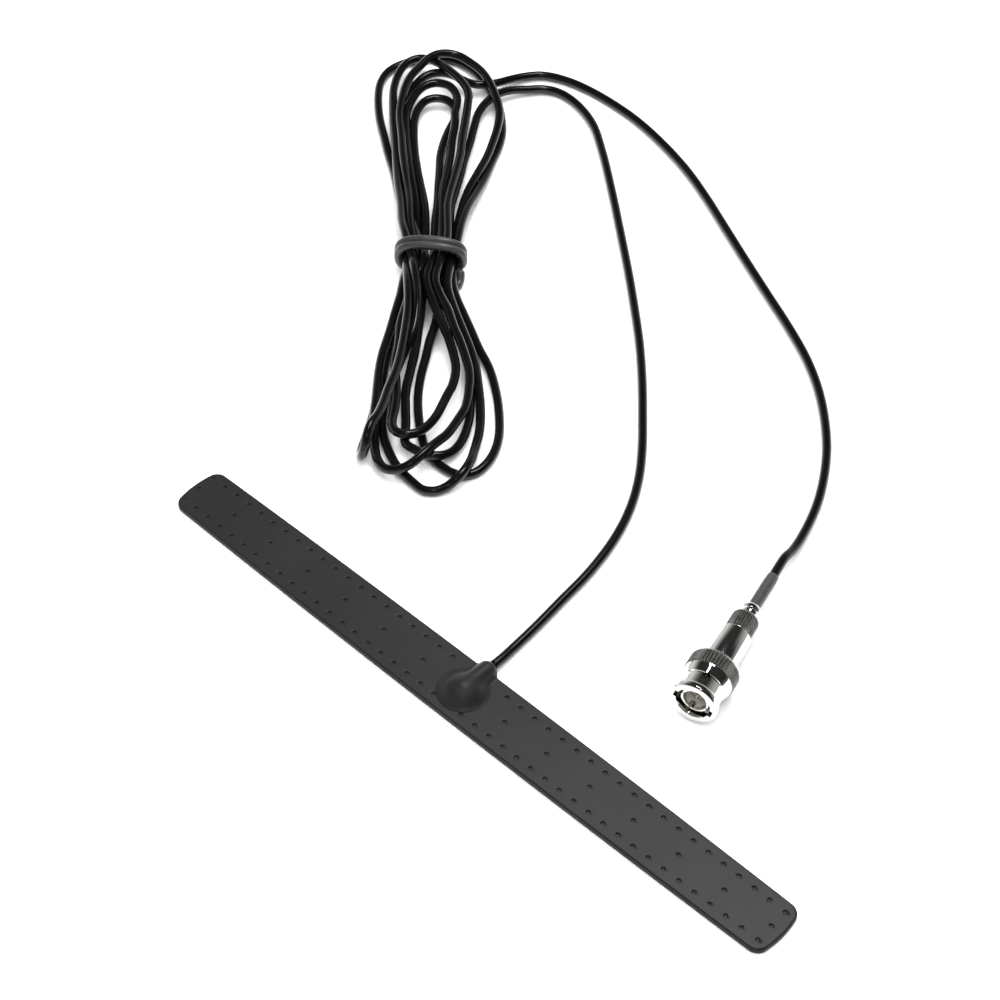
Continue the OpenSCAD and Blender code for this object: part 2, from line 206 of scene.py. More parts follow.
def track_cutter(r, x0, x1, pts, segs=16):
    """A slot cutter: a rounded band between two radii along (angle, z) points."""
    pts = np.asarray(pts, float)
    n = len(pts)
    rm = (x0 + x1) / 2
    flat = np.stack([pts[:, 0] * rm, pts[:, 1]], -1)
    t = np.gradient(flat, axis=0)
    t /= np.linalg.norm(t, axis=1)[:, None]
    nrm = np.stack([-t[:, 1], t[:, 0]], -1)
    left, right = flat + nrm * r, flat - nrm * r
    cap = []
    a0 = math.atan2(nrm[-1][1], nrm[-1][0])
    for k in range(1, segs):
        q = a0 - math.pi * k / segs
        cap.append(flat[-1] + r * np.array([math.cos(q), math.sin(q)]))
    loop = np.concatenate([left, np.array(cap), right[::-1]])
    v = []
    for x in (x0, x1):
        ang = loop[:, 0] / rm
        v.append(np.stack([x * np.cos(ang), x * np.sin(ang), loop[:, 1]], -1))
    v = np.concatenate(v)
    m = len(loop)
    f = [(k, (k + 1) % m, m + (k + 1) % m, m + k) for k in range(m)]
    k = len(cap)
    # the inner and outer walls as strips of quads, so that they follow the curve
    for base, flip in ((0, True), (m, False)):
        for i in range(n - 1):
            q = (base + i, base + i + 1, base + m - 2 - i, base + m - 1 - i)
            f.append(q[::-1] if flip else q)
        fan = (base + n - 1,) + tuple(base + n + j for j in range(k)) + (base + n + k,)
        f.append(fan[::-1] if flip else fan)
    me = mesh_object("cutter", v, f)
    bpy.context.view_layer.update()
    import bmesh
    bm = bmesh.new()
    bm.from_mesh(me.data)
    bmesh.ops.recalc_face_normals(bm, faces=bm.faces)
    bm.to_mesh(me.data)
    bm.free()
    return me


def tube(name, pts, radius, sides=20, caps=True, sharp=None):
    """A round tube along points, with frames carried along the path and domed ends."""
    p = np.asarray(pts, float)
    n = len(p)
    rad = np.full(n, radius, float) if np.isscalar(radius) else np.asarray(radius, float)
    t = np.gradient(p, axis=0)
    t /= np.linalg.norm(t, axis=1)[:, None]
    if caps:
        pre, post, rp, rq = [], [], [], []
        for k in range(5):
            q = math.pi / 2 * (k + 0.35) / 5
            pre.append(p[0] - t[0] * rad[0] * math.cos(q))
            rp.append(rad[0] * math.sin(q))
            post.append(p[-1] + t[-1] * rad[-1] * math.cos(q))
            rq.append(rad[-1] * math.sin(q))
        p = np.concatenate([pre, p, post[::-1]])
        rad = np.concatenate([rp, rad, rq[::-1]])
        t = np.concatenate([[t[0]] * 5, t, [t[-1]] * 5])
        n = len(p)
    ref = np.array([0, 0, 1.0]) if abs(t[0][2]) < 0.9 else np.array([1.0, 0, 0])
    u = np.cross(ref, t[0])
    u /= np.linalg.norm(u)
    verts = []
    a = np.arange(sides) * 2 * math.pi / sides
    for i in range(n):
        u = u - t[i] * (u @ t[i])
        u /= np.linalg.norm(u)
        w = np.cross(t[i], u)
        verts.append(p[i] + rad[i] * (np.cos(a)[:, None] * u + np.sin(a)[:, None] * w))
    verts = np.concatenate(verts)
    faces = []
    for i in range(n - 1):
        for k in range(sides):
            l = (k + 1) % sides
            faces.append((i * sides + k, i * sides + l, (i + 1) * sides + l, (i + 1) * sides + k))
    faces.append(tuple(range(sides))[::-1])
    faces.append(tuple((n - 1) * sides + k for k in range(sides)))
    return mesh_object(name, verts, faces, sharp)


def catmull(pts, step):
    """Evenly spaced points on a smooth curve through pts."""
    p = np.asarray(pts, float)
    p = np.concatenate([[2 * p[0] - p[1]], p, [2 * p[-1] - p[-2]]])
    out = []
    for i in range(1, len(p) - 2):
        a, b, c, d = p[i - 1], p[i], p[i + 1], p[i + 2]
        ta = np.linalg.norm(b - a) ** 0.5
        tb = np.linalg.norm(c - b) ** 0.5
        tc = np.linalg.norm(d - c) ** 0.5
        m1 = (c - b) + tb * ((b - a) / ta - (c - a) / (ta + tb))
        m2 = (c - b) + tb * ((d - c) / tc - (d - b) / (tb + tc))
        for k in range(12):
            s = k / 12
            out.append((2 * s**3 - 3 * s**2 + 1) * b + (s**3 - 2 * s**2 + s) * m1
                       + (-2 * s**3 + 3 * s**2) * c + (s**3 - s**2) * m2)
    out.append(p[-2])
    out = np.array(out)
    return resample(out, step)


def resample(out, step):
    seg = np.linalg.norm(np.diff(out, axis=0), axis=1)
    s = np.concatenate([[0], np.cumsum(seg)])
    n = max(2, int(round(s[-1] / step)) + 1)
    q = np.linspace(0, s[-1], n)
    return np.stack([np.interp(q, s, out[:, k]) for k in range(3)], -1)


def surface_nets(f, lo, hi, h):
    """The zero surface of f(x, y, z) as quads; f < 0 is inside."""
    lo, hi = np.array(lo, float), np.array(hi, float)
    n = np.ceil((hi - lo) / h).astype(int) + 1
    ax = [lo[k] + h * np.arange(n[k]) for k in range(3)]
    X, Y, Z = np.meshgrid(*ax, indexing="ij")
    F = f(X, Y, Z)
    P = np.stack([X, Y, Z], -1)
    acc = np.zeros((n[0] - 1, n[1] - 1, n[2] - 1, 3))
    cnt = np.zeros((n[0] - 1, n[1] - 1, n[2] - 1))
    corner = lambda dx, dy, dz: (slice(dx, n[0] - 1 + dx), slice(dy, n[1] - 1 + dy), slice(dz, n[2] - 1 + dz))
    for axis in range(3):
        o1, o2 = [k for k in range(3) if k != axis]
        for i in (0, 1):
            for j in (0, 1):
                a = [0, 0, 0]
                a[o1], a[o2] = i, j
                b = list(a)
                b[axis] = 1
                fa, fb = F[corner(*a)], F[corner(*b)]
                hit = (fa < 0) != (fb < 0)
                t = np.where(hit, fa / np.where(hit, fa - fb, 1), 0)
                acc += hit[..., None] * (P[corner(*a)] * (1 - t[..., None]) + P[corner(*b)] * t[..., None])
                cnt += hit
    live = cnt > 0
    index = np.full(live.shape, -1)
    index[live] = np.arange(live.sum())
    verts = acc[live] / cnt[live][:, None]
    faces = []
    for axis in range(3):
        o1, o2 = [(1, 2), (2, 0), (0, 1)][axis]
        a = [slice(None)] * 3
        b = [slice(None)] * 3
        a[axis], b[axis] = slice(0, -1), slice(1, None)
        sa, sb = F[tuple(a)] < 0, F[tuple(b)] < 0
        g = np.argwhere(sa != sb)
        ok = (g[:, o1] > 0) & (g[:, o1] < n[o1] - 1) & (g[:, o2] > 0) & (g[:, o2] < n[o2] - 1)
        g = g[ok]
        flip = sa[tuple(g.T)]
        q = []
        for d1, d2 in ((-1, -1), (0, -1), (0, 0), (-1, 0)):
            c = g.copy()
            c[:, o1] += d1
            c[:, o2] += d2
            q.append(index[tuple(c.T)])
        q = np.stack(q, -1)
        q[~flip] = q[~flip][:, ::-1]
        faces.append(q)
    faces = np.concatenate(faces)
    # pull the points onto the surface
    e = h * 0.05
    for _ in range(3):
        x, y, z = verts.T
        v = f(x, y, z)
        g = np.stack([f(x + e, y, z) - f(x - e, y, z), f(x, y + e, z) - f(x, y - e, z), f(x, y, z + e) - f(x, y, z - e)], -1) / (2 * e)
        gg = np.maximum((g * g).sum(1), 1e-3)
        stepv = -(v / gg)[:, None] * g
        ln = np.linalg.norm(stepv, axis=1)
        stepv *= np.minimum(1, 0.5 * h / np.maximum(ln, 1e-9))[:, None]
        verts = verts + stepv
    return verts, faces


# ------------------------------------------------------------------ the lead, first
# route of the lead, millimetres: boss, floor, hank (strand by strand), floor, plug
LEAD_A = [
    (0, 11, 2.0), (0, 14.5, 1.85), (-0.3, 18.4, 1.55), (-1, 29.1, 1.4), (-2.1, 40.4, 1.4), (-3.4, 53.6, 1.4),
    (-6.2, 67, 1.4), (-10.4, 78.6, 1.4), (-16.2, 89.2, 1.4), (-23.2, 98.8, 1.4), (-32.2, 109.4, 1.4), (-41.8, 120.2, 1.4),
    (-52.8, 131.6, 1.4), (-65.2, 143.2, 1.4), (-75.6, 152.6, 1.4), (-90.6, 165.6, 1.4), (-105.1, 178, 1.4),
    (-121.4, 191.3, 1.4), (-132.2, 198.9, 1.4), (-141.7, 202.6, 1.4), (-150.1, 203.4, 1.4), (-155.6, 201.2, 1.5)]
HANK = [
    # in, and down to the waist
    (-159.5, 196.5, 1.6), (-162.6, 192, 1.8), (-164, 186.8, 2), (-164, 181.8, 2.2), (-162.4, 176, 2.6),
    (-158.3, 169.4, 3), (-153.6, 162.6, 3.4), (-149, 155.2, 3.6), (-144, 148, 3.8), (-139.5, 141, 3.9),
    (-135.5, 135, 3.9), (-129.5, 128.5, 3.9), (-125, 123, 3.9), (-119.5, 114.5, 3.9), (-112.5, 106.5, 3.9),
    # lower loop, folded up over its neighbours
    (-105.5, 101.5, 3.6), (-98, 98.5, 3), (-90.5, 94.5, 2.6), (-84.5, 90.5, 2.4), (-79, 85, 2.2), (-74, 80, 2),
    (-68, 73, 1.8), (-63.5, 65.5, 1.8), (-62, 60.5, 1.8), (-62, 57, 2.2), (-63.5, 54, 3), (-66.5, 52.5, 3.6),
    (-70, 52, 3.6), (-74.5, 52.5, 3.4), (-77.5, 56.1, 3.2), (-81.7, 60.3, 3.2), (-88.8, 67.4, 3.4), (-94.1, 74.7, 3.8),
    (-98.1, 80.2, 4.4), (-103.6, 87.3, 5.2), (-108.8, 93.7, 5.8), (-115.1, 100.3, 6.3),
    # upper loop, second outwards
    (-124, 106.5, 6.3), (-132, 113.5, 6), (-139, 119.5, 5.4), (-146, 126, 5), (-154, 133, 5), (-162, 140, 5),
    (-170, 147.5, 5), (-178, 154.5, 5.4), (-182.5, 160, 6), (-186, 165, 6.4), (-188.5, 170.5, 6.8), (-189.5, 176, 7),
    (-190, 181, 7), (-189, 185.5, 6.6), (-186, 189, 6), (-181, 190, 5.4), (-175, 189.5, 5), (-168.5, 187, 4.8),
    (-161.5, 183, 5), (-155.5, 178.5, 4.6), (-151.5, 173.5, 4.2), (-147.5, 167, 3.8), (-143.5, 160, 3.6),
    (-140, 152, 3.6), (-136.5, 144, 3.7), (-132.5, 137, 3.8), (-128, 130, 3.9), (-123.5, 124.5, 3.9),
    (-117, 116.5, 3.9), (-110, 109, 3.9),
    # lower loop, right-hand side
    (-105.5, 106, 3.6), (-99.5, 103, 3), (-93.5, 100, 2.4), (-86, 96, 2), (-78.5, 92.5, 1.6), (-70.5, 87, 1.4),
    (-63.5, 81, 1.4), (-57, 74, 1.4), (-53.5, 68, 1.4), (-52, 62, 1.4), (-52.5, 57.5, 1.5), (-55, 55, 1.6),
    (-59.5, 54.5, 1.5), (-63.5, 54.5, 1.5), (-69, 56, 1.5), (-74.5, 59.5, 1.5), (-80.5, 64.5, 1.6), (-86, 70, 1.8),
    (-91, 76.5, 2.2), (-94.5, 82, 2.6), (-98.5, 88, 3), (-102, 94.5, 3.4), (-106.5, 100.5, 3.6),
    (-112.5, 106.5, 3.9),
    # upper loop, short and low
    (-120.5, 113.5, 3.9), (-128, 120.5, 3.9), (-134, 126.5, 3.8), (-140, 133.5, 3.6), (-146.5, 140.5, 3.4),
    (-151, 145.5, 3.2), (-156.5, 151.5, 3), (-161, 158, 2.8), (-164, 163.5, 2.8), (-166, 168, 3), (-169.5, 172, 3.2),
    (-173.5, 173.5, 3.6), (-177, 171.5, 4), (-179.5, 168.5, 4), (-178.5, 164, 4), (-176, 159, 3.8),
    (-171.5, 153.5, 3.6), (-165, 147, 3.5), (-159, 142, 3.4), (-150.5, 135, 3.4), (-144, 129.5, 3.6),
    (-137.5, 123.5, 3.8), (-131.5, 117, 3.9), (-126, 108.5, 3.9), (-120, 99.5, 3.9),
    # lower loop, narrow, standing on its edge
    (-116.5, 94, 3.6), (-113, 87.5, 3), (-108, 80, 2.4), (-103, 73, 2), (-98, 66.5, 1.8), (-93.5, 60, 1.6),
    (-89, 53.5, 1.5), (-85.5, 48, 1.4), (-82, 42, 1.4), (-79, 39.4, 3), (-77.1, 38.8, 6.9),
    (-77.6, 40.7, 10.8), (-80.1, 43.8, 12.4), (-81.3, 48.6, 11.9), (-84.2, 53.9, 11.2), (-87.9, 59.8, 10.6), (-91.8, 66.7, 10),
    (-96.1, 73, 9.5), (-102.5, 81.5, 9.1), (-108, 88.5, 9), (-113.5, 94.5, 9), (-117, 98, 8.8),
    # upper loop, outermost, on the floor
    (-124, 104.5, 7.6), (-133.5, 113.5, 5.2), (-139.5, 118.5, 4), (-146, 124.5, 3), (-151.5, 128.5, 2.2),
    (-156.5, 132, 1.8), (-163.5, 137, 1.5), (-170.5, 141.5, 1.4), (-177.5, 146.5, 1.4), (-184.5, 151.5, 1.4),
    (-191, 157, 1.4), (-195, 161, 1.4), (-198, 164.5, 1.4), (-200.5, 169, 1.4), (-201.5, 173.5, 1.4),
    (-201, 177.5, 1.4), (-199.5, 181.5, 1.5), (-197, 185.5, 1.5), (-193, 189.5, 1.5), (-188, 192, 1.5),
    (-181.5, 192.5, 1.5), (-175, 191, 1.5), (-168, 188, 2), (-161.5, 184.5, 2), (-156, 180, 1.6), (-151, 175, 1.5),
    (-147, 169, 1.5), (-143.5, 162, 1.8), (-139, 153.5, 2.6), (-135, 145.5, 3.6), (-131, 137.5, 5), (-125.5, 129, 6),
    (-121, 123, 6.3), (-115.5, 114.5, 6.3), (-109, 106, 6.3),
    # lower loop, middle
    (-102.5, 101.5, 5.4), (-95.5, 97.5, 4.4), (-88.5, 93.5, 3.4), (-83, 90, 2.6), (-76, 84.5, 2), (-69, 78.5, 1.8),
    (-62.5, 71.5, 1.8), (-58.5, 65.5, 2), (-54.5, 59, 3.4), (-53, 53.5, 3.6), (-54, 49.5, 1.6), (-55.5, 45.5, 1.4),
    (-58.5, 43.5, 1.4), (-63, 44, 1.5), (-67.5, 44.5, 1.6), (-72.5, 46, 1.6), (-77.5, 48.5, 1.6), (-83.3, 52.2, 1.6),
    (-89.6, 58.9, 1.8), (-94.5, 66.5, 2.4), (-98, 73, 3.6), (-100.5, 78.5, 5), (-102, 83.5, 6.6), (-105, 88, 7.8),
    (-109, 93, 8.6), (-114, 98, 8.8),
    # upper loop, leaning on the outermost
    (-121.5, 105, 8.6), (-130.5, 112.5, 7.4), (-138, 118, 6.6), (-145.5, 124.5, 6), (-154.5, 131.5, 5.4),
    (-163, 139, 5), (-171.5, 146.5, 4.8), (-178, 152, 4.6), (-184.5, 158, 4.4), (-190.5, 164, 4.4), (-194, 169, 4.6),
    (-196.5, 174.5, 5), (-197, 179, 5.2), (-195.5, 182, 5.4), (-192.5, 183.5, 5.4), (-187, 182.5, 6.4),
    (-181, 181.4, 7.2), (-174.8, 180, 7.6), (-168.4, 177, 7.8), (-164, 172.2, 7.4), (-158.8, 165.5, 7),
    (-154.2, 159.4, 6.8), (-148.8, 152.9, 6.8), (-144, 146, 7), (-138, 137, 7.4), (-133.5, 131, 7.8), (-128, 125.5, 8.2),
    (-122, 119, 8.6), (-116.5, 110, 8.7), (-112, 103.5, 8.7),
    # lower loop, innermost
    (-105.5, 99.5, 8.4), (-100, 97, 7.8), (-94.5, 93.5, 7.2), (-89.5, 91, 6.6), (-83.5, 87.5, 6), (-78.5, 84, 5.4),
    (-74, 79, 5), (-70, 73.5, 4.8), (-68, 68, 4.8), (-66, 61.5, 5), (-65.5, 55.5, 5.4), (-65, 50, 5.6),
    (-65.5, 45.5, 4.8), (-67.5, 42.5, 3.8), (-70.5, 41, 3), (-74.5, 42, 2.4), (-79, 45, 2), (-83, 48.5, 2.6),
    (-87, 52.5, 3.6), (-93, 59.5, 3.6), (-99.5, 67, 3.4), (-104, 73, 3.4), (-108.5, 80.5, 3.6), (-113.5, 88.5, 3.8),
    (-117.5, 95, 3.9), (-120.5, 99, 3.9),
    # upper loop, inner
    (-126.5, 107.5, 3.9), (-132.5, 116, 3.9), (-138.5, 122, 3.9), (-147, 129.5, 4.2), (-157.5, 138, 4.4),
    (-165.5, 145, 4.4), (-173.5, 152.5, 4.4), (-179.5, 159, 4.6), (-180.6, 161.4, 5), (-182.2, 165.4, 5.4),
    (-183.2, 170.2, 5.6), (-182, 174.8, 5.6), (-177.8, 177, 5.6), (-173, 175.6, 5.6), (-169, 172.4, 5.6),
    (-166, 168.2, 5.8), (-161.6, 163.6, 5.6), (-157.7, 158.3, 5.4), (-152.4, 152, 5.4), (-147.2, 145.2, 5.6),
    (-140.5, 136.5, 6), (-134.5, 130, 6.2), (-129.5, 124.5, 6.4), (-124.5, 118.5, 7), (-118.5, 108.5, 8.6),
    (-113.5, 101.5, 8.8),
    # lower loop, inner
    (-108, 98, 8.4), (-102.5, 95, 7.8), (-97.5, 92.5, 7), (-92.5, 90, 6.4), (-88, 87, 5.8), (-83, 83, 5.4),
    (-79, 77.5, 5.2), (-76.5, 71.5, 5), (-74, 66, 4.6), (-72.8, 61.5, 4.4), (-72, 57, 4.8), (-72.4, 52.4, 5.5),
    (-75.2, 49.6, 5.6), (-78.9, 50.3, 5), (-81.7, 54.5, 4.4), (-85.6, 60.2, 4.2), (-91.2, 66.3, 4.2), (-97.1, 71.9, 4.6),
    (-101.1, 77.4, 5), (-107.5, 84, 5.4), (-112.5, 91, 5.8), (-117.5, 98.5, 6.3),
    # upper loop and out
    (-122.5, 108, 6.3), (-132, 115, 5), (-139, 120.5, 4.4), (-146.5, 127, 4), (-155, 134.5, 3.4), (-163.5, 142, 3),
    (-172, 149.5, 2.6), (-179.5, 157, 2.4), (-183.6, 162, 2.6), (-186.8, 167.2, 3), (-188.4, 172.8, 3.4),
    (-188.6, 177.6, 3.8), (-187, 180.6, 4.2), (-184.2, 182.4, 4.4), (-180.4, 183.2, 4.2), (-176.6, 183.4, 3.8),
    (-173, 184.5, 3.2), (-170.5, 187, 2.4), (-168.5, 191, 1.9), (-167, 197, 1.6), (-164.5, 202.5, 1.4),
]
LEAD_B = [
    (-161.2, 206.4, 1.4), (-154.1, 209.7, 1.4), (-144.9, 211.3, 1.4), (-132.8, 211.4, 1.4), (-122.2, 210.3, 1.4),
    (-109.3, 207.4, 1.4), (-94.8, 202.7, 1.4), (-81.7, 196.9, 1.4), (-67.5, 189.7, 1.4), (-52.4, 182, 1.4),
    (-36.9, 174.3, 1.4), (-23.4, 167.6, 1.4), (-11.4, 160.8, 1.4), (-1.4, 153.5, 1.4), (7.2, 145.5, 1.4),
    (15.2, 136.4, 1.4), (21.4, 127.3, 1.4), (26.5, 117.9, 1.5), (30.6, 107.5, 2.1), (33.4, 98, 3.3)]
PLUG_END = np.array(PLUG_M.translation) + 52.0 * PLUG_DIR
LEAD_B += [tuple(PLUG_END + 8 * PLUG_DIR), tuple(PLUG_END), tuple(PLUG_END - 6 * PLUG_DIR)]


def bend_radius(p, h=2):
    """Radius of the circle through points h apart, at every point."""
    out = np.full(len(p), 1e3)
    a, b, c = p[:-2 * h], p[h:-h], p[2 * h:]
    ab, bc, ac = (np.linalg.norm(q, axis=1) for q in (b - a, c - b, c - a))
    out[h:-h] = ab * bc * ac / np.maximum(2 * np.linalg.norm(np.cross(b - a, c - b), axis=1), 1e-6)
    return out


def ease(p, fixed, least=6.0, passes=24):
    """Spreads a sharp turn over its neighbours."""
    p = p.copy()
    for _ in range(passes):
        k = 1 / bend_radius(p)
        w = np.clip((k - 1 / least) * least * 2.0, 0, 1)
        for sh in (1, 2, 3, 4):
            w = np.maximum(w, np.maximum(np.roll(w, sh), np.roll(w, -sh)) * (1 - 0.16 * sh) * (w < 1))
        w[fixed] = 0
        w[:4] = w[-4:] = 0
        p[1:-1] += 0.4 * w[1:-1, None] * ((p[:-2] + p[2:]) / 2 - p[1:-1])
    return p


def settle(target, fixed, hank, rounds=220):
    """Pushes the sketched lead clear of itself, the floor and the tie, and keeps the push smooth along its length."""
    p = target.copy()
    n = len(p)
    gap = 2 * LEAD_R + 0.04
    step = np.linalg.norm(np.diff(target, axis=0), axis=1).mean()
    skip = int(math.ceil(2.2 * gap / step))
    live = np.ones(n)
    live[fixed] = 0
    rel = target[:, :2] - HANK_O
    d = rel @ HANK_U
    pairs = None
    for it in range(rounds):
        if it % 6 == 0:
            pairs = []
            for s in range(0, n, 256):
                q = p[s:s + 256]
                dist = np.linalg.norm(q[:, None, :] - p[None], axis=2)
                i, j = np.nonzero(dist < gap + 2.4)
                i = i + s
                ok = j - i > skip
                pairs.append(np.stack([i[ok], j[ok]], -1))
            pairs = np.concatenate(pairs)
        move = np.zeros_like(p)
        weight = np.zeros(n)
        i, j = pairs[:, 0], pairs[:, 1]
        v = p[j] - p[i]
        dist = np.linalg.norm(v, axis=1)
        hit = dist < gap
        i, j, v, dist = i[hit], j[hit], v[hit], dist[hit]
        v = v / np.maximum(dist, 1e-6)[:, None]
        # a crossing parts mostly upwards, so the sketch keeps its outline
        push = (gap - dist)[:, None] * v * np.array([0.8, 0.8, 1.25])
        np.add.at(move, i, -0.5 * push)
        np.add.at(move, j, 0.5 * push)
        np.add.at(weight, i, 1)
        np.add.at(weight, j, 1)
        p += move / np.maximum(weight, 1)[:, None] * live[:, None] * 1.3
        # spread the change along the lead and let it lean back to the sketch
        off = p - target
        for _ in range(3):
            off[1:-1] = 0.5 * off[1:-1] + 0.25 * (off[:-2] + off[2:])
        off *= 1 - 0.02 * live[:, None]
        p = target + off * live[:, None]
        low = np.where(hank & (np.abs(d) < 12), np.clip(4.15 - (np.abs(d) - 4.8) / 7.2 * 2.75, LEAD_R, 4.15), LEAD_R)
        p[:, 2] = np.where(live > 0, np.maximum(p[:, 2], low), p[:, 2])
        # inside the tie
        e = (p[:, :2] - HANK_O) @ HANK_V
        dd = (p[:, :2] - HANK_O) @ HANK_U
        lim = 7.4 + np.maximum(0, np.abs(dd) - 4.0) * 0.55
        near = (np.abs(dd) < 16) & hank
        over = np.where(near, np.clip(np.abs(e) - lim, 0, None) * np.sign(e), 0)
        p[:, :2] -= over[:, None] * HANK_V
        top = 9.1 + np.maximum(0, np.abs(dd) - 4.0) * 0.3
        p[:, 2] = np.where(near, np.minimum(p[:, 2], top), p[:, 2])
        p[fixed] = target[fixed]
    return p


def overlap_report(p):
    gap = 2 * LEAD_R
    worst, count = 0.0, 0
    n = len(p)
    step = np.linalg.norm(np.diff(p, axis=0), axis=1).mean()
    skip = int(math.ceil(2.2 * gap / step))
    for s in range(0, n, 256):
        dist = np.linalg.norm(p[s:s + 256][:, None, :] - p[None], axis=2)
        i, j = np.nonzero(dist < gap)
        ok = j - (i + s) > skip
        if ok.any():
            worst = max(worst, float((gap - dist[i[ok], j[ok]]).max()))
            count += int(ok.sum())
    return worst, count


sketch = catmull(LEAD_A + HANK + LEAD_B, 2.0)
fixed = np.zeros(len(sketch), bool)
fixed[:8] = True
fixed[-8:] = True
at = lambda q, lo, hi: lo + int(np.argmin(np.linalg.norm(sketch[lo:hi] - np.array(q, float), axis=1)))
HANK_I0 = at(HANK[0], 80, 200)
HANK_I1 = at(HANK[-1], len(sketch) - 200, len(sketch) - 80)
in_hank = np.zeros(len(sketch), bool)
in_hank[HANK_I0:HANK_I1 + 1] = True
sketch = ease(sketch, fixed)
route = settle(sketch, fixed, in_hank)
route = settle(ease(route, fixed, 5.8, 6), fixed, in_hank, 120)
print("lead: overlap after settling (mm, pairs)", overlap_report(route), "hank points", HANK_I0, HANK_I1)

lead_path = catmull(route[np.r_[0:len(route) - 1:2, len(route) - 1]], 1.35)
lead_path[0] = EXIT
lead = tube("coax_lead", lead_path, LEAD_R, sides=16, caps=False)


# ------------------------------------------------------------------ strip skin
def half_w(x):
    return W_MID / 2 - (W_MID - W_END) / 2 * (np.abs(x) / HL) ** 2


def end_x(y):
    return HL - 1.2 * (y / (W_END / 2)) ** 2


def strip_sd(x, y):
    """Distance outside the strip's outline; negative inside."""
    qx = np.abs(x - OFF) - (end_x(y) - CORNER)
    qy = np.abs(y) - (half_w(x - OFF) - CORNER)
    out = np.hypot(np.maximum(qx, 0), np.maximum(qy, 0))
    return out + np.minimum(np.maximum(qx, qy), 0) - CORNER


def lines(lo, hi, spots, fine_half, fine, coarse):
    """Grid lines from lo to hi, close together around each spot."""
    cuts = sorted({lo, hi} | {min(max(s + d, lo), hi) for s in spots for d in (-fine_half, fine_half)})
    out = [lo]
    for a, b in zip(cuts[:-1], cuts[1:]):
        if b - a < 1e-6:
            continue
        mid = (a + b) / 2
        near = any(abs(mid - s) < fine_half for s in spots)
        k = max(1, int(round((b - a) / (fine if near else coarse))))
        out += [a + (b - a) * i / k for i in range(1, k + 1)]
    return np.array(out)


def row_y(x):
    """Distance of an outer row of dimples from the centreline."""
    return ROW * (half_w(x) - 2.7) / (W_MID / 2 - 2.7)


COLS = [k for k in range(-21, 22)]
DIMPLES = []
for k in COLS:
    for row in (-1, 0, 1):
        if (row != 0 or k % 3 == 0) and not (abs(k) <= 1 if row == 1 else k == 0):
            x = k * PITCH
            DIMPLES.append((x, row * row_y(x), row))


def skin_height(x, y):
    """Top of the strip: flat with a rolled edge, dimples with a soft lip."""
    d = -strip_sd(x, y)
    r = 0.55
    dd = np.clip(d, 0, r)
    z = STRIP_TOP - r + np.sqrt(np.maximum(r * r - (r - dd) ** 2, 0))
    k = np.clip(np.rint(x / PITCH), -21, 21)
    for row in (-1, 0, 1):
        on = (np.abs(k) <= 1 if row == 1 else k == 0)
        on = ~on & ((row != 0) | (k % 3 == 0))
        cx = k * PITCH
        cy = row * row_y(cx)
        q = np.hypot(x - cx, y - cy) / (DIMPLE_D / 2)
        t = np.clip((1.22 - q) / 0.45, 0, 1)
        z = z - on * 0.48 * t * t * (3 - 2 * t)
    return z


